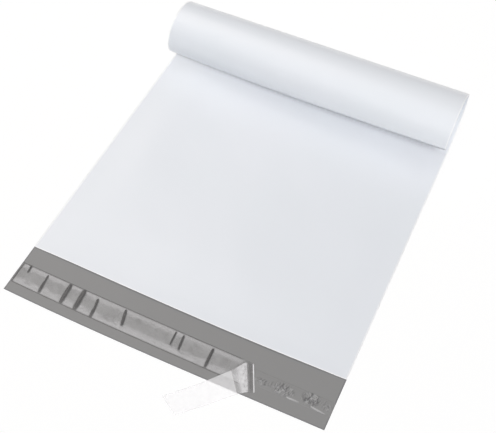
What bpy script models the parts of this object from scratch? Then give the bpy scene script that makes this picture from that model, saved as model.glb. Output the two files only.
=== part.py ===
"""Poly mailer bag: a flat film bag whose closed end is rolled over, with its sealing flap laid open.

World axes: X across the bag, Y from the mouth line towards the roll, Z up. The origin is on the
ground under the middle of the mouth line. Lengths are in metres, angles in radians.
"""

import math

import bmesh
import bpy
from mathutils import Vector

# Bag film
BAG_WIDTH = 0.250
BODY_LENGTH = 0.360
FLAP_DEPTH = 0.0412
PLY = 0.0002
POCKET_GAP = 0.0003
SIDE_SEAL = 0.006

# Rolled end: an oval that the film runs round from its lowest point
ROLL_WIDTH = 0.0570
ROLL_HEIGHT = 0.0486
ROLL_TURN = math.radians(270.0)
ROLL_STEPS = 56
FOLD_STEPS = 3

# Adhesive band on the flap
SEAT_GAP = 0.0003
GLUE_WIDTH = 0.011
GLUE_THICKNESS = 0.0002
GLUE_MARGIN = 0.0160

# Release liner over the adhesive, still stuck down on the left and peeled on the right
LINER_WIDTH = 0.0165
LINER_THICKNESS = 0.0002
STUCK_LENGTH = 0.1765
LINER_RIDGE_HEIGHT = 0.0008
RIDGE_STATIONS = (-0.5, -0.25, 0.0, 0.25, 0.5)
LINER_RIDGES = (
    (0.0080, 0.0020),
    (0.0230, 0.0024),
    (0.0415, 0.0040),
    (0.0530, 0.0046),
    (0.0665, 0.0030),
    (0.0890, 0.0028),
    (0.1285, 0.0020),
    (0.1355, 0.0026),
    (0.1578, 0.0028),
)

# Curl of the peeled liner, across fold lines that run askew over the strip
FOLD_SKEW = math.radians(113.6)
PEEL_LIFT = math.radians(30.0)
PEEL_RADIUS = 0.018
CURL_TURN = math.radians(185.0)
CURL_RADIUS = 0.0030
SETTLE_RADIUS = 0.008
TAIL_SLOPE = math.radians(3.0)
CURL_STEPS = 12

# Modelling limits
MERGE_DISTANCE = 0.00001
CREASE_ANGLE = math.radians(35.0)

# Finishes: colour and roughness
WHITE_FILM = (0.80, 0.82, 0.86, 1.0), 0.30
GREY_SKIN = (0.27, 0.27, 0.27, 1.0), 0.40
CLEAR_GLUE = (0.36, 0.36, 0.37, 1.0), 0.20
CLEAR_LINER = (0.75, 0.76, 0.80, 1.0), 0.15

HALF_WIDTH = BAG_WIDTH / 2
FILM_STACK = 2 * PLY + POCKET_GAP
GLUE_SETBACK = FLAP_DEPTH - GLUE_MARGIN
GLUE_BASE = PLY + SEAT_GAP
LINER_BASE = GLUE_BASE + GLUE_THICKNESS + SEAT_GAP


def make_material(name, finish):
    """A plain plastic finish."""
    colour, roughness = finish
    material = bpy.data.materials.new(name)
    material.use_nodes = True
    shader = material.node_tree.nodes["Principled BSDF"]
    shader.inputs["Base Color"].default_value = colour
    shader.inputs["Roughness"].default_value = roughness
    shader.inputs["Metallic"].default_value = 0.0
    return material


def add_object(name, mesh, materials, parent):
    """Turn a finished bmesh into a named object under the bag's empty."""
    bmesh.ops.recalc_face_normals(mesh, faces=mesh.faces)
    data = bpy.data.meshes.new(name)
    mesh.to_mesh(data)
    mesh.free()
    for material in materials:
        data.materials.append(material)
    part = bpy.data.objects.new(name, data)
    part.parent = parent
    bpy.context.collection.objects.link(part)
    return part


def join_rails(mesh, rails):
    """Fill the quads between each rail of vertices and the next."""
    faces = []
    for rail, following in zip(rails, rails[1:]):
        for low in range(len(rail) - 1):
            high = low + 1
            faces.append(mesh.faces.new((rail[low], rail[high], following[high], following[low])))
    return faces


def roll_place(turn, depth):
    """Point of the oval, measured from where the film leaves the ground, at a depth inside it."""
    half_width, half_height = ROLL_WIDTH / 2, ROLL_HEIGHT / 2
    across, up = math.sin(turn), -math.cos(turn)
    inward = Vector((0.0, -across / half_width, -up / half_height)).normalized()
    return Vector((0.0, across * half_width, (1.0 + up) * half_height)) + inward * depth


def roll_turns():
    """Equal turns round the oval, from the ground to the middle of the bottom fold."""
    return [ROLL_TURN * step / ROLL_STEPS for step in range(ROLL_STEPS + 1)]


def flat_length():
    """What is left of the body for the ground once the roll has taken its share."""
    middle = [roll_place(turn, FILM_STACK / 2) for turn in roll_turns()]
    rolled = sum((after - before).length for before, after in zip(middle, middle[1:]))
    return BODY_LENGTH - rolled - FILM_STACK / 2


def film_rails(mesh):
    """Rails through the layers, from the mouth along the ground and round the roll to its fold."""
    depths = (0.0, PLY, PLY + POCKET_GAP, FILM_STACK)
    roll_start = Vector((-HALF_WIDTH, flat_length(), 0.0))
    rails = [[mesh.verts.new((-HALF_WIDTH, 0.0, depth)) for depth in depths]]
    for turn in roll_turns():
        rails.append([mesh.verts.new(roll_start + roll_place(turn, depth)) for depth in depths])
    middle = roll_start + roll_place(ROLL_TURN, FILM_STACK / 2)
    inward = roll_place(ROLL_TURN, 1.0) - roll_place(ROLL_TURN, 0.0)
    onward = inward.cross(Vector((1.0, 0.0, 0.0)))
    for step in range(1, FOLD_STEPS + 1):
        bend = math.pi / 2 * step / (FOLD_STEPS + 1)
        centre = middle + onward * (FILM_STACK / 2 * math.sin(bend))
        offsets = [(depth - FILM_STACK / 2) * math.cos(bend) for depth in depths]
        rails.append([mesh.verts.new(centre + inward * offset) for offset in offsets])
    return rails


def pull_faces(mesh, faces, distance):
    """Extrude a region along X and return the faces that end up in front."""
    grown = bmesh.ops.extrude_face_region(mesh, geom=faces)["geom"]
    corners = [item for item in grown if isinstance(item, bmesh.types.BMVert)]
    bmesh.ops.translate(mesh, verts=corners, vec=(distance, 0.0, 0.0))
    front = corners[0].co.x
    return [
        item for item in grown
        if isinstance(item, bmesh.types.BMFace) and abs(item.calc_center_median().x - front) < PLY / 2
    ]


def make_film(white, grey, parent):
    """One folded web: two plies welded along both sides, open at the mouth, flap on the lower ply."""
    mesh = bmesh.new()
    pocket = mesh.faces.layers.int.new("pocket")
    rails = film_rails(mesh)
    body = join_rails(mesh, rails)
    layers = len(rails[0]) - 1
    for index, face in enumerate(body[:-FOLD_STEPS * layers]):
        face[pocket] = int(index % layers == 1)
    flap_tip = [mesh.verts.new((-HALF_WIDTH, -FLAP_DEPTH, depth)) for depth in (0.0, PLY)]
    flap = join_rails(mesh, [flap_tip, rails[0][:2]])
    seal_end = pull_faces(mesh, body + flap, SIDE_SEAL)
    open_layers = [face for face in seal_end if not face[pocket]]
    middle = pull_faces(mesh, open_layers, HALF_WIDTH - SIDE_SEAL)
    bmesh.ops.delete(mesh, geom=open_layers + middle, context="FACES")
    half = mesh.faces[:] + mesh.edges[:] + mesh.verts[:]
    bmesh.ops.mirror(mesh, geom=half, axis="X", merge_dist=MERGE_DISTANCE)
    bmesh.ops.recalc_face_normals(mesh, faces=mesh.faces)
    for face in mesh.faces:
        centre = face.calc_center_median()
        face.material_index = int(centre.y < 0.0 and face.normal.z > 0.5)
    film = add_object("mailer_film", mesh, (white, grey), parent)
    film.data.shade_smooth()
    film.data.set_sharp_from_angle(angle=CREASE_ANGLE)
    return film


def make_adhesive(material, parent):
    """The glue band that runs across the whole flap."""
    mesh = bmesh.new()
    bmesh.ops.create_cube(mesh, size=1.0)
    bmesh.ops.scale(mesh, verts=mesh.verts, vec=(BAG_WIDTH, GLUE_WIDTH, GLUE_THICKNESS))
    band = add_object("adhesive_band", mesh, (material,), parent)
    band.location = (0.0, -GLUE_SETBACK, GLUE_BASE + GLUE_THICKNESS / 2)
    return band


def ridge_lift(along):
    """Height of the small cross ridges where the stuck liner has buckled off the glue."""
    lift = 0.0
    for centre, width in LINER_RIDGES:
        reach = abs(along - centre) / (width / 2)
        if reach < 1.0:
            lift += LINER_RIDGE_HEIGHT * (1.0 + math.cos(math.pi * reach)) / 2
    return lift


def curl_places():
    """Section across the fold lines, from the peel line on: run along the film, out, up, heading."""
    lift_length = PEEL_RADIUS * PEEL_LIFT
    turn_length = CURL_RADIUS * CURL_TURN
    fall_heading = PEEL_LIFT + CURL_TURN
    tail_heading = math.pi + TAIL_SLOPE
    settle_turn = fall_heading - tail_heading
    settle_length = SETTLE_RADIUS * settle_turn
    reach = (BAG_WIDTH - STUCK_LENGTH) * math.sin(FOLD_SKEW)
    spare = reach - lift_length - turn_length - settle_length
    top = PEEL_RADIUS * (1.0 - math.cos(PEEL_LIFT))
    top += CURL_RADIUS * (math.cos(PEEL_LIFT) - math.cos(fall_heading))
    settle_drop = SETTLE_RADIUS * (math.cos(tail_heading) - math.cos(fall_heading))
    height = LINER_BASE + top - abs(settle_drop) - SEAT_GAP
    fall_slope, tail_slope = math.sin(fall_heading - math.pi), math.sin(TAIL_SLOPE)
    fall_length = (height - spare * tail_slope) / (fall_slope - tail_slope)
    stretches = (
        (lift_length, PEEL_LIFT, CURL_STEPS // 2),
        (turn_length, CURL_TURN, CURL_STEPS),
        (fall_length, 0.0, 1),
        (settle_length, -settle_turn, CURL_STEPS // 3),
    )
    run = out = up = heading = 0.0
    places = [(run, out, up, heading)]
    for length, turn, steps in stretches:
        for _ in range(steps):
            heading += turn / steps / 2
            chord = length / steps
            out += chord * math.cos(heading)
            up += chord * math.sin(heading)
            heading += turn / steps / 2
            run += chord
            places.append((run, out, up, heading))
    return places


def liner_pairs():
    """Mid-surface points and normals at both edges of the liner, from its stuck end to its free end."""
    half = LINER_WIDTH / 2
    fold = Vector((math.cos(FOLD_SKEW), math.sin(FOLD_SKEW), 0.0))
    outward = Vector((math.sin(FOLD_SKEW), -math.cos(FOLD_SKEW), 0.0))
    up_axis = Vector((0.0, 0.0, 1.0))
    middle = LINER_THICKNESS / 2
    stations = {0.0}
    for centre, width in LINER_RIDGES:
        stations.update(centre + width * share for share in RIDGE_STATIONS)
    pairs = []
    for along in sorted(stations):
        height = middle + ridge_lift(along)
        pairs.append([(Vector((along, side * half, height)), up_axis) for side in (-1, 1)])
    peel = Vector((STUCK_LENGTH, 0.0, 0.0))
    places = curl_places()
    for run, out, up, heading in places:
        normal = up_axis * math.cos(heading) - outward * math.sin(heading)
        pair = []
        for side in (-1, 1):
            slide = (side * half - run * outward.y) / fold.y
            point = peel + fold * slide + outward * out + up_axis * (up + middle)
            pair.append((point, normal))
        pairs.append(pair)
    run, out, up, heading = places[-1]
    pair = []
    for side in (-1, 1):
        corner = Vector((BAG_WIDTH, side * half, 0.0)) - peel
        beyond = corner.dot(outward) - run
        point = peel + fold * corner.dot(fold) + outward * (out + beyond * math.cos(heading))
        point += up_axis * (up + middle + beyond * math.sin(heading))
        pair.append((point, normal))
    pairs.append(pair)
    return pairs


def make_liner(material, parent):
    """The release strip, stuck along the flap, curled back on itself and down to the ground."""
    mesh = bmesh.new()
    half = LINER_THICKNESS / 2
    rings = []
    for (near, near_normal), (far, far_normal) in liner_pairs():
        ring = (
            near - near_normal * half,
            far - far_normal * half,
            far + far_normal * half,
            near + near_normal * half,
        )
        rings.append([mesh.verts.new(point) for point in ring])
    loops = [ring + ring[:1] for ring in rings]
    join_rails(mesh, loops)
    mesh.faces.new(rings[0])
    mesh.faces.new(rings[-1])
    liner = add_object("release_liner", mesh, (material,), parent)
    liner.data.shade_smooth()
    liner.data.set_sharp_from_angle(angle=CREASE_ANGLE)
    liner.location = (-HALF_WIDTH, -GLUE_SETBACK, LINER_BASE)
    return liner


def build():
    """Clear the scene and make the bag."""
    for item in list(bpy.data.objects):
        bpy.data.objects.remove(item, do_unlink=True)
    bag = bpy.data.objects.new("poly_mailer_bag", None)
    bpy.context.collection.objects.link(bag)
    make_film(make_material("white_film", WHITE_FILM), make_material("grey_inner_skin", GREY_SKIN), bag)
    make_adhesive(make_material("clear_adhesive", CLEAR_GLUE), bag)
    make_liner(make_material("clear_liner", CLEAR_LINER), bag)


build()
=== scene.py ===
"""Looks of the poly mailer bag: glossy co-extruded film, tacky glue band and half-peeled clear liner."""

import bisect
import math

import bmesh
import bpy
from mathutils import Euler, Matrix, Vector, noise


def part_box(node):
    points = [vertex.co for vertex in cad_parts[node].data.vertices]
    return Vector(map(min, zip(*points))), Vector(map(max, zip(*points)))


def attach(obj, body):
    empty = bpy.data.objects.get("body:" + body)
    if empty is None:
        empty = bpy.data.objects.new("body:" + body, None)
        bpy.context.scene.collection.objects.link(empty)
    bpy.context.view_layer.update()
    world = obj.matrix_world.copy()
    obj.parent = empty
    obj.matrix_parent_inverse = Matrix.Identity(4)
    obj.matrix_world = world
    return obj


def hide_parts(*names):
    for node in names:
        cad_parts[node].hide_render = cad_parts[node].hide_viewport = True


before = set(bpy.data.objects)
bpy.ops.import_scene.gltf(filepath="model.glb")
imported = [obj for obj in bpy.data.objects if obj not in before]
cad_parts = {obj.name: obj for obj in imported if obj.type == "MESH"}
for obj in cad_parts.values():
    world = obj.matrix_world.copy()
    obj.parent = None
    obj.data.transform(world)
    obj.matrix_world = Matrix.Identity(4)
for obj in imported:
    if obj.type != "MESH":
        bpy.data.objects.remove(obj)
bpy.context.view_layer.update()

# Film web, metres: its width, flap, length and the roll's mean height come from the frame
FILM_LOW, FILM_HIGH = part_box("mailer_film")
HALF_WIDTH = FILM_HIGH.x
FLAP_DEPTH = -FILM_LOW.y
ROLL_HEIGHT = FILM_HIGH.z
ROLL_WIDTH = 0.0570
ROLL_TURN = math.radians(270.0)
ROLL_SAMPLES = 400
FLAT_LENGTH = FILM_HIGH.y - ROLL_WIDTH / 2
FILM_THICKNESS = 0.00012
GROUND_GAP = 0.00002
WELD_GAP = 0.00016
FOLD_RADIUS = 0.00016
SIDE_SEAL = 0.0050
EDGE_BAND = 0.0011

# How far the mouth's and the flap's front edge bow forward at their middle, and their skew to the right
MOUTH_BOW = (0.0018, 0.5)
FLAP_BOW = (0.0015, -0.5)

# How far into the bag the mouth's bow and its thinner air reach, and the share of air left at the mouth
MOUTH_REACH = 0.050
MOUTH_AIR = 0.15

# Air between the plies, metres: its depth, the least of it, and how far in from the edges it fills out
AIR_DEPTH = 0.0010
AIR_LEAST = 0.0002
AIR_SIDE_RAMP = 0.028
AIR_CLOSED_RAMP = 0.030

# Waves of the air: their mean level, what the small ones add, and how softly they stop above nothing
AIR_LEVEL = 0.9
AIR_RIPPLE = 0.35
AIR_SOFTNESS = 0.5

# Lip of the mouth, metres: how far it lifts, how deep it is, and how far in from each side it starts
LIP_LIFT = 0.0003
LIP_DEPTH = 0.012
LIP_SIDE_RAMP = 0.020

# The roll tapers: its right end is looser than its middle by this share and starts earlier
ROLL_TAPER = 0.092
ROLL_START_SHIFT = -0.0008
ROLL_START_SKEW = -0.0038

# How far the roll's free end hangs forward of the oval at its middle, and how much more at its right
FREE_HANG = 0.0012
FREE_HANG_SKEW = 0.0024

# Glue band, metres; its grid is fine from one place on, where the glue is bare
GLUE_LOW, GLUE_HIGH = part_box("adhesive_band")
GLUE_WIDTH = GLUE_HIGH.y - GLUE_LOW.y
GLUE_LINE = (GLUE_HIGH.y + GLUE_LOW.y) / 2
GLUE_THICKNESS = 0.00002
GLUE_GAP = 0.00001
GLUE_BASE = GROUND_GAP + FILM_THICKNESS + GLUE_GAP
GLUE_DEPTH = 0.00010
GLUE_FEATHER = 0.0030
GLUE_FINE_FROM = 0.060
WORM_HEIGHT = 0.00035
FINE_WORMS = 0.35
GLINT_STRENGTH = 0.55

# Where the bared glue has wrinkled: middle along the band and up it, half sizes, how strongly
GLUE_PATCHES = (
    (0.0735, -0.0014, 0.0060, 0.0026, 0.75),
    (0.0880, -0.0006, 0.0092, 0.0046, 1.0),
    (0.1085, 0.0010, 0.0070, 0.0056, 1.0),
    (0.1195, 0.0004, 0.0050, 0.0036, 0.6),
)

# A patch fades out between these shares of its half sizes
PATCH_FADE = (1.2, 0.6)

# Pulled strings of glue: start along and up, end along and up
GLUE_STRINGS = (
    ((0.0930, -0.0046), (0.1016, -0.0044)),
    ((0.1107, -0.0040), (0.1212, -0.0050)),
)
STRING_WIDTH = 0.0011
STRING_HEIGHT = 0.0005

# Share of a string that is cut off each end of its taper, and how much it thins to its right
STRING_END = 0.08
STRING_THINNING = 0.55

# Release liner, metres; the strip is laid a little askew, with no offset at LINER_TRUE
LINER_WIDTH = 0.0181
LINER_SKEW = -0.006
LINER_TRUE = 0.020
LINER_THICKNESS = 0.00005
LINER_GAP = 0.00008
LINER_BASE = GLUE_BASE + GLUE_DEPTH + LINER_GAP
LINER_INSET = 0.0012
LINER_START = LINER_INSET - HALF_WIDTH
LINER_FLUTTER = 0.00006
LINER_COLUMNS = 36
STUCK_STEPS = 420

# Wrinkles of the stuck liner: middle along from its left end and up the strip, half length, width, lean
LINER_WRINKLES = (
    (0.0068, 0.0056, 0.0036, 0.0017, -0.10),
    (0.0222, 0.0035, 0.0042, 0.0017, -0.13),
    (0.0226, -0.0032, 0.0058, 0.0024, -0.10),
    (0.0410, -0.0002, 0.0098, 0.0034, -0.05),
    (0.0526, -0.0002, 0.0100, 0.0040, -0.06),
    (0.0652, 0.0014, 0.0056, 0.0022, -0.20),
    (0.0660, -0.0052, 0.0040, 0.0026, -0.10),
    (0.0882, 0.0012, 0.0070, 0.0025, -0.26),
    (0.1272, 0.0020, 0.0060, 0.0015, -0.05),
    (0.1338, 0.0014, 0.0066, 0.0019, -0.12),
    (0.1566, -0.0008, 0.0088, 0.0024, -0.05),
)
WRINKLE_HEIGHT = 0.0011

# A wrinkle fades out between these shares of its half width and of its half length
WRINKLE_SIDES = (1.25, 0.45)
WRINKLE_ENDS = (1.0, 0.75)

# Near the liner's front edge the wrinkles fade by a share, from one height up the strip to another
FRONT_FADE = 0.35
FRONT_BAND = (-0.0040, -0.0080)

# Folds of the peeled liner: its back edge, its front edge, and how far each fold is rounded
LINER_FOLDS = (
    ((0.0466, -0.0163, 0.0003), (0.0560, -0.0345, 0.0003), 0.3),
    ((0.0566, -0.0163, 0.0003), (0.0660, -0.0345, 0.0003), 0.45),
    ((0.0648, -0.0176, 0.0022), (0.0736, -0.0363, 0.0016), 0.45),
    ((0.0577, -0.0194, 0.0040), (0.0678, -0.0388, 0.0027), 0.25),
    ((0.0519, -0.0280, 0.0032), (0.0632, -0.0417, 0.0019), 0.20),
    ((0.0330, -0.0488, 0.0010), (0.0468, -0.0583, 0.0005), 0.12),
    ((0.0166, -0.0648, 0.0002), (0.0312, -0.0734, 0.0002), 0.3),
)
FOLD_STEPS = (16, 18, 18, 18, 44, 26)

# Look of the peeled liner: place among its folds, how much it hides, and how dark it is. How much it hides
# is the loose liner's haze, raised to a painted highlight along its outer fold; how dark it is is painted
# shadow inside the loop
PEELED_STOPS = (
    (0.00, 0.12, 0.00),
    (1.00, 0.04, 0.06),
    (1.20, 0.02, 0.22),
    (1.64, 0.02, 0.22),
    (1.74, 0.97, 0.00),
    (2.30, 0.97, 0.00),
    (2.39, 0.02, 0.20),
    (2.60, 0.02, 0.24),
    (2.84, 0.06, 0.16),
    (2.94, 0.50, 0.00),
    (3.30, 0.58, 0.00),
    (3.60, 0.54, 0.00),
    (3.90, 0.24, 0.00),
    (4.005, 0.20, 0.00),
    (4.03, 0.54, 0.00),
    (5.00, 0.58, 0.00),
    (6.00, 0.55, 0.00),
)

# Places among the folds between which the stuck look gives way to the peeled one
PEEL_RAMP = (0.5, 1.0)
FACET_MOTTLE = 0.45

# Haze of the stuck liner over the glue and over its dry margins
GLUE_HAZE = 0.080
MARGIN_HAZE = 0.28

# The glue wets the liner round a line up the strip, and stops between these distances from it
WET_LINE = 0.0006
WET_BAND = (0.0056, 0.0024)

# Bands in which the liner's bubbles and the painted shadow lines along its long edges and left end show,
# and how dark each of them is
BUBBLE_BAND = (0.0068, 0.0048)
BUBBLE_DARK = 0.20
RIM_SHADOW_BAND = (0.0009, 0.0002)
RIM_SHADOW = 0.55
END_SHADOW_BAND = (0.0012, 0.0003)
END_SHADOW = 0.7

# Colours of each material and of its cloudy patches
WHITE_TONES = ((0.79, 0.81, 0.86, 1.0), (0.75, 0.79, 0.83, 1.0))
GREY_TONES = ((0.252, 0.252, 0.252, 1.0), (0.265, 0.265, 0.267, 1.0))
LINER_TONES = ((0.96, 0.96, 0.98, 1.0), (0.91, 0.91, 0.93, 1.0))
PAPER_WHITE = (1.0, 1.0, 1.0, 1.0)

# Colours of the film's edges (a painted highlight on the white film, painted shade on the grey), of the
# glue's wrinkles and painted wet highlights, and of the liner's painted shade and shadow lines
WHITE_EDGE_HIGHLIGHT = (0.92, 0.93, 0.95, 1.0)
GREY_EDGE_SHADE = (0.19, 0.19, 0.20, 1.0)
WORM_GREY = (0.14, 0.14, 0.145, 1.0)
WET_GLEAM = (0.52, 0.52, 0.53, 1.0)
LINER_SHADE_COLOUR = (0.085, 0.085, 0.088, 1.0)

# Size of the cloudy patches, metres
FILM_CLOUD = 0.070
GLUE_CLOUD = 0.020
LINER_CLOUD = 0.006

# Pebbled skins: size of a pebble in metres, share of drag lines, height in metres
FILM_PEBBLE = (0.0016, 0.6, 0.00001)
GLUE_PEBBLE = (0.0010, 0.2, 0.00002)
LINER_PEBBLE = (0.0020, 0.3, 0.00003)

# How far the film's roughness swings over its patches, and how much less rough wrinkled glue is
GLOSS_SWING = 0.12
WET_GLOSS = -0.2

# How soon the liner's own colour gives way to its painted shade, and how much a wrinkle's full painted
# shade hides
SHADE_GAIN = 4.0
WRINKLE_ALPHA = 0.42

# Share of the floor that shows as plain white, and strength of the sky and its fall to the right
FLOOR_GLOW = 0.85
SKY_LIGHT = 0.13
SKY_FALL = -0.06

# Camera: millimetres for the lens, metres for its place, degrees for its turns
CAMERA_LENS = 69.32
CAMERA_PLACE = (0.16657, -0.31082, 0.59178)
CAMERA_TURNS = (36.432, -2.385, 24.781)
LAMP_AIM = Vector((0.0, 0.1, 0.0))


def smooth(low, high, value):
    """Ramp from 0 to 1 with soft ends."""
    share = min(max((value - low) / (high - low), 0.0), 1.0)
    return share * share * (3.0 - 2.0 * share)


def bump_at(value, centre, width):
    """A round hump of height 1."""
    reach = abs(value - centre) / (width / 2)
    return (1.0 + math.cos(math.pi * reach)) / 2 if reach < 1.0 else 0.0


def crest_at(value, width):
    """A sharp crest of height 1 where a value is 0, down to 0 where it is a width away."""
    return max(1.0 - abs(value) / width, 0.0)


def waves(x, y, width, height, seed):
    """Slow waves between -1 and 1, their width and height in metres; each seed gives others."""
    return noise.noise(Vector((x / width, y / height, seed)))


def swell(x, y, size, seed):
    """Slow waves that are as wide as they are high."""
    return waves(x, y, size, size, seed)


def steps(*stretches):
    """Places along a line: each stretch is its length and how many steps it takes."""
    places = [0.0]
    for length, count in stretches:
        start = places[-1]
        places += [start + length * (step + 1) / count for step in range(count)]
    return places


def centred(width, count):
    """Even places across a width, with the middle at 0."""
    return [width * (step / count - 0.5) for step in range(count + 1)]


def store_map(mesh, spots):
    """Keep the flat place of each vertex, found by its index, as the sheet's map."""
    flat = mesh.loops.layers.uv.new("flat")
    for face in mesh.faces:
        for loop in face.loops:
            loop[flat].uv = spots[loop.vert.index]


def grid_sheet(across, along, place):
    """A film laid out flat as a grid, its flat place kept as its map, then moved to where it lies."""
    mesh = bmesh.new()
    columns, rows = len(across) - 1, len(along) - 1
    bmesh.ops.create_grid(mesh, x_segments=columns, y_segments=rows, size=0.5)
    spots = {}
    for vertex in mesh.verts:
        column = round((vertex.co.x + 0.5) * columns)
        row = round((vertex.co.y + 0.5) * rows)
        spots[vertex.index] = (across[column], along[row])
    store_map(mesh, spots)
    for vertex in mesh.verts:
        vertex.co = place(*spots[vertex.index])
    return mesh


def add_paint(mesh, name, value):
    """Store a value for each place of a flat sheet, for its material to read."""
    paint = mesh.verts.layers.float.new(name)
    flat = mesh.loops.layers.uv["flat"]
    for face in mesh.faces:
        for loop in face.loops:
            loop.vert[paint] = value(*loop[flat].uv)


def add_object(mesh, name, materials):
    """Make a mesh an object of the scene, with its materials."""
    data = bpy.data.meshes.new(name)
    mesh.to_mesh(data)
    mesh.free()
    for material in materials:
        data.materials.append(material)
    made = bpy.data.objects.new(name, data)
    bpy.context.scene.collection.objects.link(made)
    return made


def finish_piece(mesh, name, materials, node):
    """Make the piece an object that rides on the bag and stands for its CAD node."""
    piece = add_object(mesh, name, materials)
    piece.data.shade_smooth()
    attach(piece, "root")
    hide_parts(node)
    return piece


def thicken(piece, thickness, offset, inner=0):
    """Give a sheet its wall, whose inner face takes the material that many slots further on."""
    wall = piece.modifiers.new("wall", "SOLIDIFY")
    wall.thickness = thickness
    wall.offset = offset
    wall.use_even_offset = False
    wall.material_offset = inner


def oval(turn):
    """Point and inward normal on the roll's mean oval, from where the film leaves the ground."""
    half_width, half_height = ROLL_WIDTH / 2, ROLL_HEIGHT / 2
    out, up = math.sin(turn), -math.cos(turn)
    inward = Vector((0.0, -out / half_width, -up / half_height)).normalized()
    return Vector((0.0, out * half_width, (1.0 + up) * half_height)), inward


def roll_table(last_turn):
    """Lengths run round the oval at equal turns."""
    runs, before = [0.0], oval(0.0)[0]
    for step in range(1, ROLL_SAMPLES + 1):
        point = oval(last_turn * step / ROLL_SAMPLES)[0]
        runs.append(runs[-1] + (point - before).length)
        before = point
    return runs


BODY_LENGTH = FLAT_LENGTH + roll_table(ROLL_TURN)[-1]
WEB_LENGTH = FLAP_DEPTH + 2 * BODY_LENGTH
ROUND_TRIP = roll_table(2 * math.pi)


def turn_after(run):
    """Turn round the oval after a run of film."""
    low = min(bisect.bisect_right(ROUND_TRIP, run), ROLL_SAMPLES) - 1
    share = (run - ROUND_TRIP[low]) / (ROUND_TRIP[low + 1] - ROUND_TRIP[low])
    return 2 * math.pi * (low + share) / ROLL_SAMPLES


def path_place(x, run):
    """Where the outer face lies at a run from the mouth, and which way is inward."""
    share = x / HALF_WIDTH
    start = FLAT_LENGTH + ROLL_START_SHIFT + ROLL_START_SKEW * share
    if run <= start:
        return Vector((x, run, 0.0)), Vector((0.0, 0.0, 1.0))
    grown = 1.0 + ROLL_TAPER * share
    turn = turn_after((run - start) / grown)
    point, inward = oval(turn)
    overhang = max(turn - math.pi, 0.0) / (ROLL_TURN - math.pi)
    hang = (FREE_HANG + FREE_HANG_SKEW * share) * overhang ** 2
    return Vector((x, start - hang, 0.0)) + point * grown, inward


def bow(x, depth, skew):
    """How far forward an edge across the bag bows, which is its depth at the middle and 0 at the sides."""
    share = x / HALF_WIDTH
    return depth * (1.0 - share * share) * (1.0 + skew * share)


def bowed(point):
    """Move a point on the flap forward, in full at the flap's front edge and past it."""
    reach = min(max(-point.y / FLAP_DEPTH, 0.0), 1.0)
    return point - Vector((0.0, bow(point.x, *FLAP_BOW) * reach, 0.0))


def air_gap(x, run):
    """How far the front ply stands off the back ply: air inside, none at the side seals."""
    seal = HALF_WIDTH - SIDE_SEAL
    inside = smooth(seal, seal - AIR_SIDE_RAMP, abs(x))
    closed_end = smooth(BODY_LENGTH, BODY_LENGTH - AIR_CLOSED_RAMP, run)
    broad = swell(x, run * 0.7, size=0.075, seed=3.1)
    small = swell(x + run * 0.4, run, size=0.034, seed=8.4)
    level = AIR_LEVEL + broad + AIR_RIPPLE * small
    mouth = MOUTH_AIR + (1.0 - MOUTH_AIR) * smooth(0.0, MOUTH_REACH, run)
    air = (level + math.hypot(level, AIR_SOFTNESS)) / 2 * mouth
    sides = smooth(HALF_WIDTH, HALF_WIDTH - LIP_SIDE_RAMP, abs(x))
    lip = LIP_LIFT * smooth(LIP_DEPTH, 0.0, run) * sides
    return inside * closed_end * (AIR_LEAST + AIR_DEPTH * air) + lip


def film_place(x, along):
    """Place of a point of the web, from the flap's tip round the bag to the mouth edge."""
    fold = FLAP_DEPTH + BODY_LENGTH
    depth = GROUND_GAP + FILM_THICKNESS / 2
    run = along - FLAP_DEPTH
    forward = 0.0
    if along > fold:
        run = fold + BODY_LENGTH - along
        depth += WELD_GAP + air_gap(x, run)
        forward = bow(x, *MOUTH_BOW) * smooth(MOUTH_REACH, 0.0, run)
    point, inward = path_place(x, min(run, BODY_LENGTH - FOLD_RADIUS))
    point.y -= forward
    place = point + inward * depth
    return bowed(place) if along < FLAP_DEPTH else place


def edge_shading_mask(x, along):
    """Where the edges are painted: 1 on the web's cut and welded edges, which take a painted highlight on
    the white side and painted shade on the grey, and under the mouth's edge, where a painted shadow lies;
    0 a millimetre off them.
    """
    # Distance to the line under the mouth's edge, where a painted shadow lies
    mouth_shadow_distance = abs(FLAP_DEPTH - bow(x, *MOUTH_BOW) - along)
    inset = min(HALF_WIDTH - abs(x), along, WEB_LENGTH - along, mouth_shadow_distance)
    return smooth(EDGE_BAND, EDGE_BAND / 3, inset)


def make_film(white, grey):
    """One web folded at the closed end, white outside and grey inside."""
    roll_length = BODY_LENGTH - FLAT_LENGTH
    rows = steps(
        (2 * EDGE_BAND, 5),
        (FLAP_DEPTH - 6 * EDGE_BAND, 16),
        (5 * EDGE_BAND, 14),
        (FLAT_LENGTH - EDGE_BAND, 60),
        (roll_length, 90),
        (roll_length, 90),
        (FLAT_LENGTH - LIP_DEPTH, 92),
        (LIP_DEPTH - 2 * EDGE_BAND, 12),
        (2 * EDGE_BAND, 5),
    )
    columns = steps((SIDE_SEAL, 12), (2 * (HALF_WIDTH - SIDE_SEAL), 84), (SIDE_SEAL, 12))
    mesh = grid_sheet([place - HALF_WIDTH for place in columns], rows, film_place)
    # The edges' painted highlight and painted shade, and the painted shadow under the mouth's edge
    add_paint(mesh, "edge_shading", edge_shading_mask)
    bmesh.ops.reverse_faces(mesh, faces=mesh.faces)
    film = finish_piece(mesh, "bag_film", (white, grey), "mailer_film")
    thicken(film, FILM_THICKNESS, 0.0, inner=1)


def glue_patch(x, y):
    """How strongly the bared glue has wrinkled at a place, 0 outside the patches."""
    inside = 0.0
    for middle, up, half_length, half_height, strength in GLUE_PATCHES:
        reach = math.hypot((x - middle) / half_length, (y - up) / half_height)
        inside = max(inside, strength * smooth(*PATCH_FADE, reach))
    return inside


def glue_worms(x, y):
    """Crests of the wormy wrinkles in the bared glue, most of them running across the band."""
    turned = crest_at(waves(x, y, width=0.0021, height=0.0056, seed=5.0), 0.20)
    fine = crest_at(waves(x, y, width=0.0015, height=0.0026, seed=9.0), 0.12)
    return glue_patch(x, y) * min(turned + FINE_WORMS * fine, 1.0)


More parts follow.
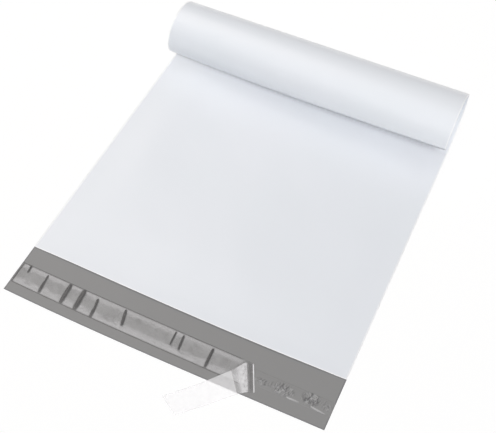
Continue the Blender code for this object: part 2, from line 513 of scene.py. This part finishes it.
def glue_string(x, y):
    """Crest of the pulled strings of glue."""
    crest = 0.0
    for start, end in GLUE_STRINGS:
        span = Vector(end) - Vector(start)
        away = Vector((x, y)) - Vector(start)
        share = min(max(away.dot(span) / span.length_squared, 0.0), 1.0)
        gap = (away - span * share).length
        taper = math.sqrt(math.sin(math.pi * (STRING_END + (1.0 - 2.0 * STRING_END) * share)))
        hump = bump_at(gap, 0.0, STRING_WIDTH * 2 * taper)
        crest = max(crest, hump * (1.0 - STRING_THINNING * share))
    return crest


def glue_gleam(x, y):
    """Wet highlights: the pulled strings, and broken glints among the wormy wrinkles."""
    glint = crest_at(waves(x, y, width=0.0022, height=0.0030, seed=13.0) - 0.1, 0.10)
    return max(glue_string(x, y), GLINT_STRENGTH * glue_patch(x, y) * glint)


def glue_place(x, y):
    """Place of a point of the glue band: a thin layer that feathers out at its long edges."""
    body = smooth(GLUE_WIDTH / 2, GLUE_WIDTH / 2 - GLUE_FEATHER, abs(y))
    lift = body * GLUE_DEPTH + WORM_HEIGHT * glue_worms(x, y) + STRING_HEIGHT * glue_string(x, y)
    return bowed(Vector((x, GLUE_LINE + y, GLUE_BASE + lift)))


def make_glue(material):
    """The glue band, smooth under the liner and wrinkled where it has been laid bare."""
    columns = steps((HALF_WIDTH + GLUE_FINE_FROM, 60), (HALF_WIDTH - GLUE_FINE_FROM, 260))
    mesh = grid_sheet([place - HALF_WIDTH for place in columns], centred(GLUE_WIDTH, 44), glue_place)
    add_paint(mesh, "worms", glue_worms)
    add_paint(mesh, "gleam", glue_gleam)
    glue = finish_piece(mesh, "glue_band", (material,), "adhesive_band")
    thicken(glue, GLUE_THICKNESS, 1.0)


def fold_place(place, side):
    """Place on one edge of the peeled liner: straight between its folds and rounded at each."""
    nearest = min(max(round(place), 1), len(LINER_FOLDS) - 2)
    reach = LINER_FOLDS[nearest][2]
    before, here, after = (Vector(fold[side]) for fold in LINER_FOLDS[nearest - 1:nearest + 2])
    if abs(place - nearest) < reach:
        share = (place - nearest + reach) / (2 * reach)
        start, end = here.lerp(before, reach), here.lerp(after, reach)
        return start.lerp(here, share).lerp(here.lerp(end, share), share)
    if place > nearest:
        return here.lerp(after, place - nearest)
    return here.lerp(before, nearest - place)


def fold_lengths(side):
    """Length of the liner's edge from its left end to each fold."""
    lengths = [LINER_FOLDS[0][side][0] - LINER_START]
    for fold, following in zip(LINER_FOLDS, LINER_FOLDS[1:]):
        lengths.append(lengths[-1] + (Vector(following[side]) - Vector(fold[side])).length)
    return lengths


FOLD_LENGTHS = (fold_lengths(0), fold_lengths(1))


def liner_along(share, place):
    """Length along the flat liner at a share of its width from the back, and a place among its folds."""
    low = min(int(place), len(LINER_FOLDS) - 2)
    ends = [lengths[low] + (lengths[low + 1] - lengths[low]) * (place - low) for lengths in FOLD_LENGTHS]
    return ends[0] + (ends[1] - ends[0]) * share


def wrinkle_at(along, up):
    """How far inside the spindle of a wrinkle a place of the stuck liner lies, from 0 to 1."""
    inside = 0.0
    for middle, height, half_length, width, lean in LINER_WRINKLES:
        rise = (up - height) / half_length
        if abs(rise) < 1.0:
            half_width = width / 2 * math.sqrt(1.0 - rise ** 4)
            reach = abs(along - middle - lean * (up - height)) / half_width
            inside = max(inside, smooth(*WRINKLE_SIDES, reach) * smooth(*WRINKLE_ENDS, abs(rise)))
    return inside * (1.0 - FRONT_FADE * smooth(*FRONT_BAND, up))


def stuck_place(along, up):
    """Place of a point of the liner where it lies on the glue."""
    flutter = LINER_FLUTTER * abs(swell(along, up, size=0.005, seed=2.0))
    lift = WRINKLE_HEIGHT * wrinkle_at(along, up) + flutter
    x = LINER_START + along
    return bowed(Vector((x, GLUE_LINE + LINER_SKEW * (x - LINER_TRUE) + up, LINER_BASE + lift)))


def stuck_haze(along, up):
    """Haze of the stuck liner: low and patchy over the glue, higher over its dry margins."""
    wander = 0.0010 * swell(along, 0.0, size=0.006, seed=4.0)
    wander += 0.0008 * swell(along, up, size=0.002, seed=6.0)
    wet = smooth(*WET_BAND, abs(up - WET_LINE) + wander)
    dry = 1.0 - 0.12 * smooth(-0.004, 0.004, up) + 0.2 * swell(along, up, size=0.004, seed=9.0)
    patches = 1.0 + 0.9 * swell(along, up * 0.6, size=0.0050, seed=7.0)
    patches += 0.6 * swell(along, up * 0.5, size=0.0016, seed=3.0)
    return MARGIN_HAZE * dry * (1.0 - wet) + GLUE_HAZE * patches * wet


def stuck_bubbles(along, up):
    """Curls of air trapped here and there between the liner and the glue."""
    curl = crest_at(swell(along, up * 0.7, size=0.0019, seed=11.0), 0.14)
    gathered = smooth(0.0, 0.25, swell(along, up, size=0.008, seed=17.0))
    return curl * gathered * smooth(*BUBBLE_BAND, abs(up))


def stuck_painted_shade(along, up):
    """Painted shade of the stuck liner: in its wrinkles, the dark of its bubbles, and a painted shadow
    line round its cut edges.
    """
    bubbles = BUBBLE_DARK * stuck_bubbles(along, up)
    # Painted shadow lines along the liner's long edges and at its left end
    rim_shadow = RIM_SHADOW * smooth(*RIM_SHADOW_BAND, LINER_WIDTH / 2 - abs(up))
    end = END_SHADOW * smooth(*END_SHADOW_BAND, along)
    return max(wrinkle_at(along, up), bubbles, rim_shadow, end)


def peeled_look(place):
    """Haze and painted shade of the peeled liner at a place among its folds: a painted highlight along its
    outer fold, painted shadow inside its loop.
    """
    for low, high in zip(PEELED_STOPS, PEELED_STOPS[1:]):
        if place <= high[0]:
            share = (place - low[0]) / (high[0] - low[0])
            return low[1] + (high[1] - low[1]) * share, low[2] + (high[2] - low[2]) * share
    return PEELED_STOPS[-1][1:]


def through_one_face(hidden):
    """Haze of one face of a film whose two faces together hide a share of what is behind."""
    return 1.0 - math.sqrt(1.0 - hidden)


def stuck_point(share, up, stuck):
    """Length along, place, haze and painted shade of the liner at a share of its stuck length."""
    along = liner_along(share, 0.0) * stuck
    return along, stuck_place(along, up), stuck_haze(along, up), stuck_painted_shade(along, up)


def peeled_point(share, up, place):
    """Length along, place, haze and painted shade of the liner at a place among its folds."""
    along = liner_along(share, place)
    point = bowed(fold_place(place, 0).lerp(fold_place(place, 1), share))
    loose = smooth(*PEEL_RAMP, place)
    look, shade = peeled_look(place)
    mottled = bump_at(place, centre=3.2, width=1.2) * swell(along, up, size=0.0019, seed=15.0)
    haze = stuck_haze(along, up) * (1.0 - loose) + look * (1.0 + FACET_MOTTLE * mottled) * loose
    # Painted shade: the stuck liner's, giving way to the painted shadow inside the loop
    shade_paint = stuck_painted_shade(along, up) * (1.0 - loose) + shade * loose
    return along, point, haze, shade_paint


def liner_rows():
    """Rows of the liner: how a point of each is made, and its share of the stuck length or its place."""
    stuck = [(stuck_point, step / STUCK_STEPS) for step in range(STUCK_STEPS)]
    peeled = []
    for fold, count in enumerate(FOLD_STEPS):
        peeled += [(peeled_point, fold + step / count) for step in range(count)]
    return stuck + peeled + [(peeled_point, float(len(FOLD_STEPS)))]


def make_liner(material):
    """The clear release strip, wrinkled where it is stuck, folded and laid back where it is peeled."""
    rows = liner_rows()
    mesh = bmesh.new()
    bmesh.ops.create_grid(mesh, x_segments=LINER_COLUMNS, y_segments=len(rows) - 1, size=0.5)
    haze = mesh.verts.layers.float.new("haze")
    # The liner's painted shade and shadow lines, for its material to read
    shade_paint = mesh.verts.layers.float.new("liner_shade")
    spots = {}
    for vertex in mesh.verts:
        share = 0.5 - vertex.co.x
        up = LINER_WIDTH * (0.5 - share)
        point_of, value = rows[round((vertex.co.y + 0.5) * (len(rows) - 1))]
        along, vertex.co, hidden, vertex[shade_paint] = point_of(share, up, value)
        vertex[haze] = through_one_face(hidden)
        spots[vertex.index] = (up, along)
    store_map(mesh, spots)
    liner = finish_piece(mesh, "clear_liner", (material,), "release_liner")
    thicken(liner, LINER_THICKNESS, 0.0)


def feed(tree, socket, value):
    """Give a socket a value of its own, or link it to another socket."""
    if isinstance(value, bpy.types.NodeSocket):
        tree.links.new(value, socket)
    else:
        socket.default_value = value


def math_node(tree, operation, *values):
    """A math node fed by sockets or numbers."""
    node = tree.nodes.new("ShaderNodeMath")
    node.operation = operation
    for socket, value in zip(node.inputs, values):
        feed(tree, socket, value)
    return node.outputs[0]


def tint(tree, colour, factor, target):
    """Blend a colour towards a target colour by a factor."""
    node = tree.nodes.new("ShaderNodeMix")
    node.data_type = "RGBA"
    feed(tree, node.inputs["Factor"], factor)
    feed(tree, node.inputs["A"], colour)
    feed(tree, node.inputs["B"], target)
    return node.outputs["Result"]


def sized_noise(tree, vector, size, detail):
    """Noise whose waves have a size in metres."""
    node = tree.nodes.new("ShaderNodeTexNoise")
    node.inputs["Detail"].default_value = detail
    tree.links.new(vector, node.inputs["Vector"])
    tree.links.new(math_node(tree, "DIVIDE", 1.0, size), node.inputs["Scale"])
    return node.outputs["Fac"]


def drawn_noise(tree, vector, across, along):
    """Noise drawn out into lines, by its number of waves to the metre across and along the web."""
    stretch = tree.nodes.new("ShaderNodeMapping")
    stretch.inputs["Scale"].default_value = (across, along, 1.0)
    tree.links.new(vector, stretch.inputs["Vector"])
    node = tree.nodes.new("ShaderNodeTexNoise")
    node.inputs["Scale"].default_value = 1.0
    tree.links.new(stretch.outputs["Vector"], node.inputs["Vector"])
    return node.outputs["Fac"]


def new_group(name, inputs, outputs):
    """A shader node group with named sockets, and the nodes at its start and end."""
    group = bpy.data.node_groups.new(name, "ShaderNodeTree")
    for socket, kind in inputs:
        group.interface.new_socket(socket, in_out="INPUT", socket_type=kind)
    for socket, kind in outputs:
        group.interface.new_socket(socket, in_out="OUTPUT", socket_type=kind)
    return group, group.nodes.new("NodeGroupInput").outputs, group.nodes.new("NodeGroupOutput").inputs


def film_bloom_group():
    """Cloudy colour of blown film: broad soft patches and faint streaks along the web."""
    group, given, result = new_group(
        "film_bloom",
        (
            ("Vector", "NodeSocketVector"),
            ("Colour", "NodeSocketColor"),
            ("Patch Colour", "NodeSocketColor"),
            ("Patch Size", "NodeSocketFloat"),
        ),
        (("Colour", "NodeSocketColor"), ("Patches", "NodeSocketFloat")),
    )
    patches = sized_noise(group, given["Vector"], given["Patch Size"], detail=2.0)
    streaks = drawn_noise(group, given["Vector"], across=900.0, along=14.0)
    faint = math_node(group, "MULTIPLY_ADD", streaks, 0.06, 0.17)
    amount = math_node(group, "MULTIPLY_ADD", patches, 0.6, faint)
    colour = tint(group, given["Colour"], amount, given["Patch Colour"])
    group.links.new(colour, result["Colour"])
    group.links.new(amount, result["Patches"])
    return group


def film_skin_group():
    """Height of a film's skin: fine pebbling with gentle drag lines."""
    group, given, result = new_group(
        "film_skin",
        (
            ("Vector", "NodeSocketVector"),
            ("Pebble Size", "NodeSocketFloat"),
            ("Drag", "NodeSocketFloat"),
        ),
        (("Height", "NodeSocketFloat"),),
    )
    pebbles = sized_noise(group, given["Vector"], given["Pebble Size"], detail=3.0)
    lines = drawn_noise(group, given["Vector"], across=260.0, along=22.0)
    dragged = math_node(group, "MULTIPLY", lines, given["Drag"])
    group.links.new(math_node(group, "ADD", pebbles, dragged), result["Height"])
    return group


FILM_BLOOM = film_bloom_group()
FILM_SKIN = film_skin_group()


def place_group(tree, group, vector, **values):
    """Put a shared group into a material with its own values, and give its outputs."""
    node = tree.nodes.new("ShaderNodeGroup")
    node.node_tree = group
    tree.links.new(vector, node.inputs["Vector"])
    for socket, value in values.items():
        node.inputs[socket.replace("_", " ")].default_value = value
    return node.outputs


def read_paint(tree, name):
    """Value that was stored on the sheet."""
    node = tree.nodes.new("ShaderNodeAttribute")
    node.attribute_name = name
    return node.outputs["Fac"]


def new_material(name, colour, roughness, specular):
    """A Principled material, its tree and its shader."""
    material = bpy.data.materials.new(name)
    material.use_nodes = True
    tree = material.node_tree
    shader = tree.nodes["Principled BSDF"]
    shader.inputs["Base Color"].default_value = colour
    shader.inputs["Roughness"].default_value = roughness
    shader.inputs["Specular IOR Level"].default_value = specular
    return material, tree, shader


def film_base(name, tones, cloud_size, pebble, roughness, specular):
    """A material with a pebbled skin, its tree and shader, and the outputs of its cloudy colour."""
    material, tree, shader = new_material(name, tones[0], roughness, specular)
    flat = tree.nodes.new("ShaderNodeUVMap")
    flat.uv_map = "flat"
    place = flat.outputs["UV"]
    cloud = place_group(
        tree, FILM_BLOOM, place, Colour=tones[0], Patch_Colour=tones[1], Patch_Size=cloud_size
    )
    pebble_size, drag, height = pebble
    skin = place_group(tree, FILM_SKIN, place, Pebble_Size=pebble_size, Drag=drag)
    bump = tree.nodes.new("ShaderNodeBump")
    bump.inputs["Distance"].default_value = height
    bump.inputs["Strength"].default_value = 1.0
    tree.links.new(skin["Height"], bump.inputs["Height"])
    tree.links.new(bump.outputs["Normal"], shader.inputs["Normal"])
    return material, tree, shader, cloud


def film_material(name, tones, edge_shading, roughness, specular):
    """Blown film: cloudy colour, soft gloss that varies, and its cut and welded edges painted in the given
    edge colour, a painted highlight on the white film and painted shade on the grey.
    """
    material, tree, shader, cloud = film_base(name, tones, FILM_CLOUD, FILM_PEBBLE, roughness, specular)
    # Blend towards the painted edge colour: a highlight on the white film, shade and a shadow under the
    # mouth on the grey
    shade = tint(tree, cloud["Colour"], read_paint(tree, "edge_shading"), edge_shading)
    tree.links.new(shade, shader.inputs["Base Color"])
    gloss = math_node(tree, "MULTIPLY_ADD", cloud["Patches"], GLOSS_SWING, roughness - GLOSS_SWING / 2)
    tree.links.new(gloss, shader.inputs["Roughness"])
    return material


def glue_material(roughness=0.40):
    """Clear glue over the grey skin: the same grey, dark and wet where it has wrinkled."""
    material, tree, shader, cloud = film_base(
        "clear_adhesive", GREY_TONES, GLUE_CLOUD, GLUE_PEBBLE, roughness, specular=0.3
    )
    worms = read_paint(tree, "worms")
    wrinkled = tint(tree, cloud["Colour"], worms, WORM_GREY)
    gleam = tint(tree, wrinkled, read_paint(tree, "gleam"), WET_GLEAM)
    tree.links.new(gleam, shader.inputs["Base Color"])
    gloss = math_node(tree, "MULTIPLY_ADD", worms, WET_GLOSS, roughness)
    tree.links.new(gloss, shader.inputs["Roughness"])
    return material


def liner_material():
    """Thin clear release film, its haze painted on the strip, with painted shade in its wrinkles and folds
    and painted shadow lines at its cut edges.
    """
    material, tree, shader, cloud = film_base(
        "clear_liner", LINER_TONES, LINER_CLOUD, LINER_PEBBLE, roughness=0.24, specular=0.35
    )
    liner_shade = read_paint(tree, "liner_shade")
    # How far the colour goes over to the painted shade
    shaded = math_node(tree, "MINIMUM", math_node(tree, "MULTIPLY", liner_shade, SHADE_GAIN), 1.0)
    shade = tint(tree, cloud["Colour"], shaded, LINER_SHADE_COLOUR)
    tree.links.new(shade, shader.inputs["Base Color"])
    mottle = math_node(tree, "MULTIPLY_ADD", cloud["Patches"], 0.5, 0.75)
    hazy = math_node(tree, "MULTIPLY", read_paint(tree, "haze"), mottle)
    # Haze outside the painted shade
    dry = math_node(tree, "MULTIPLY", hazy, math_node(tree, "SUBTRACT", 1.0, shaded))
    alpha = math_node(tree, "MULTIPLY_ADD", liner_shade, WRINKLE_ALPHA, dry)
    tree.links.new(alpha, shader.inputs["Alpha"])
    return material


def seen_directly(tree):
    """1 for rays that come from the camera or through a clear thing, 0 for all others."""
    rays = tree.nodes.new("ShaderNodeLightPath")
    return math_node(tree, "MAXIMUM", rays.outputs["Is Camera Ray"], rays.outputs["Is Transmission Ray"])


def make_floor():
    """White paper under the bag: white to the camera, with the bag's soft shadow."""
    material, tree, shader = new_material("white_paper", PAPER_WHITE, roughness=0.9, specular=0.1)
    glow = tree.nodes.new("ShaderNodeEmission")
    glow.inputs["Color"].default_value = PAPER_WHITE
    glow.inputs["Strength"].default_value = 1.0
    mix = tree.nodes.new("ShaderNodeMixShader")
    tree.links.new(math_node(tree, "MULTIPLY", seen_directly(tree), FLOOR_GLOW), mix.inputs["Fac"])
    tree.links.new(shader.outputs["BSDF"], mix.inputs[1])
    tree.links.new(glow.outputs["Emission"], mix.inputs[2])
    tree.links.new(mix.outputs["Shader"], tree.nodes["Material Output"].inputs["Surface"])
    mesh = bmesh.new()
    bmesh.ops.create_grid(mesh, x_segments=1, y_segments=1, size=6.0)
    add_object(mesh, "floor", (material,))


def add_lamp(name, kind, size, power, place):
    """A lamp aimed at the middle of the bag: a square soft box, or a broad sun of a given spread."""
    data = bpy.data.lights.new(name, kind)
    if kind == "SUN":
        data.angle = size
    else:
        data.size = size
    data.energy = power
    lamp = bpy.data.objects.new(name, data)
    lamp.location = place
    lamp.rotation_euler = (LAMP_AIM - Vector(place)).to_track_quat("-Z", "Y").to_euler()
    bpy.context.scene.collection.objects.link(lamp)
    return data


def studio_world():
    """Pale sky for the light, dimmer from the right; plain white where it is seen."""
    world = bpy.data.worlds.new("studio")
    world.use_nodes = True
    tree = world.node_tree
    background = tree.nodes["Background"]
    background.inputs["Color"].default_value = PAPER_WHITE
    way = tree.nodes.new("ShaderNodeTexCoord")
    parts = tree.nodes.new("ShaderNodeSeparateXYZ")
    tree.links.new(way.outputs["Generated"], parts.inputs["Vector"])
    dim = math_node(tree, "MULTIPLY_ADD", parts.outputs["X"], SKY_FALL, SKY_LIGHT)
    missing = math_node(tree, "SUBTRACT", 1.0, dim)
    strength = math_node(tree, "MULTIPLY_ADD", seen_directly(tree), missing, dim)
    tree.links.new(strength, background.inputs["Strength"])
    return world


def light_scene():
    """Level studio light: a pale world, a key by the camera, and two fills that cast no shadow."""
    scene = bpy.context.scene
    scene.world = studio_world()
    add_lamp("key", "SUN", size=math.radians(9.0), power=1.32, place=(0.2, -0.50, 0.76))
    fill = add_lamp("fill", "SUN", size=math.radians(60.0), power=1.15, place=(0.0, -0.1, 1.0))
    fill.use_shadow = False
    back_left = add_lamp("back_left", "AREA", size=1.8, power=22.0, place=(-1.55, 1.09, 2.2))
    back_left.color = (1.0, 0.92, 0.86)
    back_left.use_shadow = False
    scene.view_settings.view_transform = "Standard"


def place_camera():
    """Camera at the photograph's place."""
    data = bpy.data.cameras.new("camera")
    data.sensor_width = 36.0
    data.lens = CAMERA_LENS
    data.clip_start = 0.01
    data.clip_end = 20.0
    camera = bpy.data.objects.new("camera", data)
    camera.location = CAMERA_PLACE
    camera.rotation_euler = Euler([math.radians(turn) for turn in CAMERA_TURNS])
    bpy.context.scene.collection.objects.link(camera)
    bpy.context.scene.camera = camera


place_camera()
WHITE = film_material("white_film", WHITE_TONES, WHITE_EDGE_HIGHLIGHT, roughness=0.30, specular=0.5)
GREY = film_material("grey_skin", GREY_TONES, GREY_EDGE_SHADE, roughness=0.42, specular=0.3)
make_film(WHITE, GREY)
make_glue(glue_material())
make_liner(liner_material())
make_floor()
light_scene()
